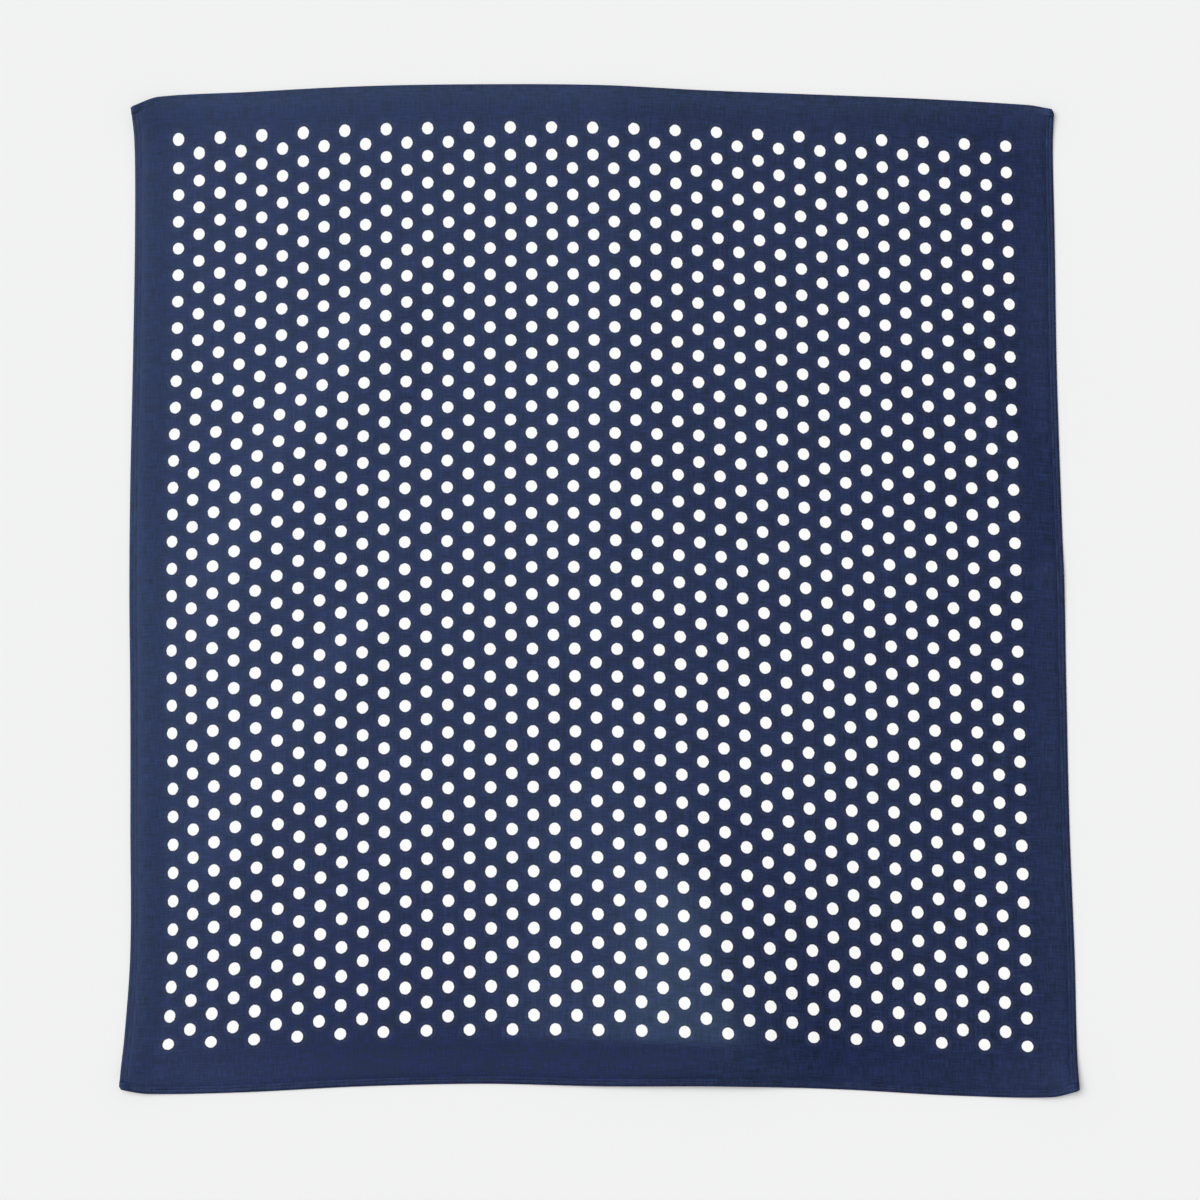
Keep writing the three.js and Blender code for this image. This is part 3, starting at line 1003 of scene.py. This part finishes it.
class BANDANA_OT_hems(bpy.types.Operator):
    """The four edges, each turned twice to the back"""

    bl_idname = "bandana.hems"
    bl_label = "Hems"

    def execute(self, context):
        cloth = context.scene.bandana_cloth
        look = context.scene.bandana_print
        material = cotton("plain_cotton", look, dots=0.0)
        for hem in HEMS:
            self.sew(hem, cloth, material)
        return {"FINISHED"}

    def sew(self, hem, cloth, material):
        cells = cloth.hem_cells
        reach = hem_reach(hem)
        sides = len(HEM_SECTION)
        closed = HEM_SECTION + HEM_SECTION[:1]
        inward = np.array([row["in"] for row in closed])
        upward = np.array([row["up"] for row in closed])
        girth = np.concatenate([[0], np.cumsum(np.hypot(np.diff(inward), np.diff(upward)))])
        bm = bmesh.new()
        bmesh.ops.create_grid(bm, x_segments=sides, y_segments=cells, size=0.5)
        cut = bm.loops.layers.uv.new("Cut")
        strip_map = bm.loops.layers.uv.new("OFBake")
        edge = LENGTH / 2 if hem["runs"][0] else WIDTH / 2
        for face in bm.faces:
            for loop in face.loops:
                run = girth[round((loop.vert.co.x + 0.5) * sides)]
                along = loop.vert.co.y * 2 * reach
                place = (along, edge + run) if hem["runs"][0] else (edge + run, along)
                loop[cut].uv = (place[0] * MM, place[1] * MM)
                loop[strip_map].uv = (
                    0.5 + (1 - 2 * STRIP_GAP) * loop.vert.co.y,
                    STRIP_GAP + (1 - 2 * STRIP_GAP) * run / girth[-1],
                )
        flat = places_of(bm)
        k = np.rint((flat[:, 0] + 0.5) * sides).astype(int)
        along = flat[:, 1] * 2 * reach
        rows, up = inward[k], upward[k]
        drawn = corner_rounding(hem, along, reach)
        ending = smooth(reach - np.abs(along), 0, 0.5)
        gathered = pucker(hem, along)
        u, v = on_hem(hem, along, np.maximum(rows, drawn))
        lumps = np.zeros(along.shape)
        if hem["runs"][0]:
            lumps = LUMP_HEIGHT * (1 - smooth(reach - np.abs(along), *LUMP_FALLS))
        x, y = lay(u, v)
        on_top = smooth(up, 0.3, 0.8)
        sheer = 0.5 + (up - 0.5) * (0.45 + 0.55 * ending)
        level = smooth(rows, 0, 1) * (1 - 0.9 * smooth(rows, 2.5, 3.8))
        z = lift(u, v) + sheer + on_top * (gathered * level + lumps)
        move_to(bm, x, y, z)
        bmesh.ops.remove_doubles(bm, verts=bm.verts[:], dist=0.000001)
        bmesh.ops.edgeloop_fill(bm, edges=[e for e in bm.edges if e.is_boundary])
        # The closed ends take their places on both maps from the strip beside them
        for face in bm.faces:
            if len(face.verts) > 4:
                for loop in face.loops:
                    near = next(o for o in loop.vert.link_loops if len(o.face.verts) == 4)
                    loop[cut].uv = near[cut].uv
                    left, side = near[strip_map].uv
                    past = CLOSED_END if left > 0.5 else -CLOSED_END
                    loop[strip_map].uv = (left + past * side, side)
        bmesh.ops.recalc_face_normals(bm, faces=bm.faces[:])
        made = finished(hem["node"] + "_cloth", bm, [material])
        # The hems are painted paler along their edges, as wear and painted light, and along the
        # bottom they take part of the margin's painted light and shade.
        x, y, _ = np.array([tuple(vert.co) for vert in made.data.vertices]).T / MM
        patchy = 1 + 0.3 * np.sin(x / 23) * np.sin(y / 31)
        mark_wear_and_painted_light(made, edge_wear_and_light(x, y) * patchy + 0.6 * painted_light_and_shade_share(MARGIN, x, y) * margin(y))
        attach(made, "root")
        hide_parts(hem["node"])


# A row of stitches: how far it stops short of a hem's end, the share of a stitch that its
# thread covers before it dips into the cloth, how far it wanders to either side, how high the
# thread's middle lies on the face and on the back, and how flat it lies on the back. While the
# stitches for the back are made, they stand BACK_APART below the others.
END_GAP = 1.4
THREAD_SHARE = 0.9
WANDER = 0.16
FACE_HEIGHT = 0.90
BACK_HEIGHT = 0.10
BACK_FLAT = 0.6
BACK_APART = 10


def copy_all(bm, offset):
    """Copies everything in a bmesh and moves the copy."""
    grown = bmesh.ops.duplicate(bm, geom=bm.verts[:] + bm.edges[:] + bm.faces[:])
    copies = [part for part in grown["geom"] if isinstance(part, bmesh.types.BMVert)]
    bmesh.ops.translate(bm, vec=offset, verts=copies)


class BANDANA_OT_stitches(bpy.types.Operator):
    """The lockstitch that holds each hem, seen on the face and on the back"""

    bl_idname = "bandana.stitches"
    bl_label = "Stitches"

    def execute(self, context):
        cloth = context.scene.bandana_cloth
        material = thread_material(context.scene.bandana_print)
        for hem in HEMS:
            self.sew(hem, cloth, material)
        return {"FINISHED"}

    def sew(self, hem, cloth, material):
        reach = hem_reach(hem) - END_GAP
        pitch = cloth.stitch / MM
        count = int(2 * reach / pitch)
        # One stitch is doubled until there are enough for the row, and the spare ones go
        bm = bmesh.new()
        bmesh.ops.create_uvsphere(bm, u_segments=6, v_segments=5, radius=0.5)
        bmesh.ops.rotate(bm, matrix=Matrix.Rotation(math.pi / 2, 3, "Y"), verts=bm.verts)
        made = 1
        while made < count:
            copy_all(bm, (2 * made, 0, 0))
            made *= 2
        spare = [vert for vert in bm.verts if vert.co.x > 2 * count - 1]
        bmesh.ops.delete(bm, geom=spare, context="VERTS")
        copy_all(bm, (0, 0, -BACK_APART))
        shape = places_of(bm)
        number = np.rint(shape[:, 0] / 2)
        on_face = shape[:, 2] > -BACK_APART / 2
        thick = cloth.thread / MM
        along = (number - (count - 1) / 2 + (shape[:, 0] - 2 * number) * THREAD_SHARE) * pitch
        seed = HEMS.index(hem)
        wander = [WANDER * noise.noise(Vector((n * 0.7, seed, 0.5))) for n in number]
        across = cloth.seam_inset / MM + np.array(wander) + shape[:, 1] * thick
        u, v = on_hem(hem, along, across)
        x, y = lay(u, v)
        middle = np.where(on_face, FACE_HEIGHT + pucker(hem, along), BACK_HEIGHT)
        flattened = (shape[:, 2] + BACK_APART) * BACK_FLAT
        thin = np.where(on_face, shape[:, 2], flattened) * thick
        z = lift(u, v) + middle + thin
        move_to(bm, x, y, z)
        bmesh.ops.recalc_face_normals(bm, faces=bm.faces[:])
        made = finished(hem["node"] + "_stitches", bm, [material])
        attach(made, "root")


class BANDANA_OT_declare(bpy.types.Operator):
    """Takes no step: it does not declare the field a sheet of cloth, nor say what is sewn to it"""

    bl_idname = "bandana.declare"
    bl_label = "Declare the cloth"

    def execute(self, context):
        return {"FINISHED"}


# The lamp's width and its lean towards the top and the left of the cloth, in degrees, the
# camera's lens in millimetres, and the place right of and above the cloth's middle where it
# looks, in millimetres.
LAMP_WIDTH = 60
LAMP_LEAN = (-15, -30)
LENS = 65.45
AIM = (3.4, -12.0, 0)


class BANDANA_OT_stage(bpy.types.Operator):
    """The pale floor, the soft light and the camera"""

    bl_idname = "bandana.stage"
    bl_label = "Stage"

    def execute(self, context):
        stage = context.scene.bandana_stage
        self.floor(stage)
        self.light(context, stage)
        self.camera(context, stage)
        context.scene.view_settings.view_transform = "Standard"
        context.scene.view_settings.look = "None"
        return {"FINISHED"}

    def floor(self, stage):
        bm = bmesh.new()
        bmesh.ops.create_grid(bm, x_segments=2, y_segments=2, size=16.0)
        material, w, shader = new_material("pale_floor")
        shader.inputs["Specular IOR Level"].default_value = 0.0
        shader.inputs["Roughness"].default_value = 1.0
        place = w.node("ShaderNodeTexCoord").outputs["Object"]
        tone = w.span(w.cloud(place, 3.0), 0.3, 0.7, 0.995, 1.0, "LINEAR")
        w.join(w.scaled(tuple(stage.floor), tone), shader.inputs["Base Color"])
        finished("floor", bm, [material])

    def light(self, context, stage):
        world = bpy.data.worlds.new("soft_room")
        world.use_nodes = True
        w = Wiring(world.node_tree)
        background = world.node_tree.nodes["Background"]
        away = w.node("ShaderNodeTexCoord").outputs["Generated"]
        right, _, up = w.parts(away)
        side = w.span(right, -stage.spread, stage.spread)
        window, shade, walls, foot = (
            tuple(c * stage.sky for c in colour) + (1,)
            for colour in (stage.window, stage.shade, stage.walls, stage.horizon)
        )
        ceiling = w.blend(side, window, shade)
        upper = w.blend(w.span(up, 0.45, 0.8), walls, ceiling)
        w.join(w.blend(w.span(up, 0.03, 0.4), foot, upper), background.inputs["Color"])
        background.inputs["Strength"].default_value = 1.0
        context.scene.world = world
        lamp = bpy.data.lights.new("soft_lamp", "SUN")
        lamp.energy = stage.lamp
        lamp.angle = math.radians(LAMP_WIDTH)
        lamp.color = (0.97, 1.0, 1.04)
        made = bpy.data.objects.new("soft_lamp", lamp)
        made.rotation_euler = (math.radians(LAMP_LEAN[0]), math.radians(LAMP_LEAN[1]), 0)
        context.scene.collection.objects.link(made)

    def camera(self, context, stage):
        camera = bpy.data.cameras.new("camera")
        camera.sensor_width = 36
        camera.lens = LENS
        camera.clip_end = 20
        made = bpy.data.objects.new("camera", camera)
        away = Vector((0, -math.sin(stage.tilt), math.cos(stage.tilt))) * stage.distance
        made.location = Vector(AIM) * MM + away
        made.rotation_euler = (stage.tilt, 0, 0)
        context.scene.collection.objects.link(made)
        context.scene.camera = made


class BANDANA_PT_sidebar(bpy.types.Panel):
    """Lists the bandana's sizes, colours and pieces"""

    bl_idname = "BANDANA_PT_sidebar"
    bl_label = "Bandana"
    bl_space_type = "VIEW_3D"
    bl_region_type = "UI"
    bl_category = "Bandana"

    def draw(self, context):
        for group in ("bandana_cloth", "bandana_print", "bandana_stage"):
            settings = getattr(context.scene, group)
            column = self.layout.column()
            for name in settings.__annotations__:
                column.prop(settings, name)
        for step in STEPS:
            self.layout.operator(step)


CLASSES = (
    BandanaCloth,
    BandanaPrint,
    BandanaStage,
    BANDANA_OT_field,
    BANDANA_OT_hems,
    BANDANA_OT_stitches,
    BANDANA_OT_declare,
    BANDANA_OT_stage,
    BANDANA_PT_sidebar,
)

STEPS = (
    "bandana.stage",
    "bandana.field",
    "bandana.hems",
    "bandana.stitches",
    "bandana.declare",
)


def register():
    for made in CLASSES:
        bpy.utils.register_class(made)
    bpy.types.Scene.bandana_cloth = bpy.props.PointerProperty(type=BandanaCloth)
    bpy.types.Scene.bandana_print = bpy.props.PointerProperty(type=BandanaPrint)
    bpy.types.Scene.bandana_stage = bpy.props.PointerProperty(type=BandanaStage)


def unregister():
    del bpy.types.Scene.bandana_stage
    del bpy.types.Scene.bandana_print
    del bpy.types.Scene.bandana_cloth
    for made in reversed(CLASSES):
        bpy.utils.unregister_class(made)


def main():
    register()
    bpy.ops.bandana.stage()
    bpy.ops.bandana.field()
    bpy.ops.bandana.hems()
    bpy.ops.bandana.stitches()
    bpy.ops.bandana.declare()


if __name__ == "__main__":
    main()
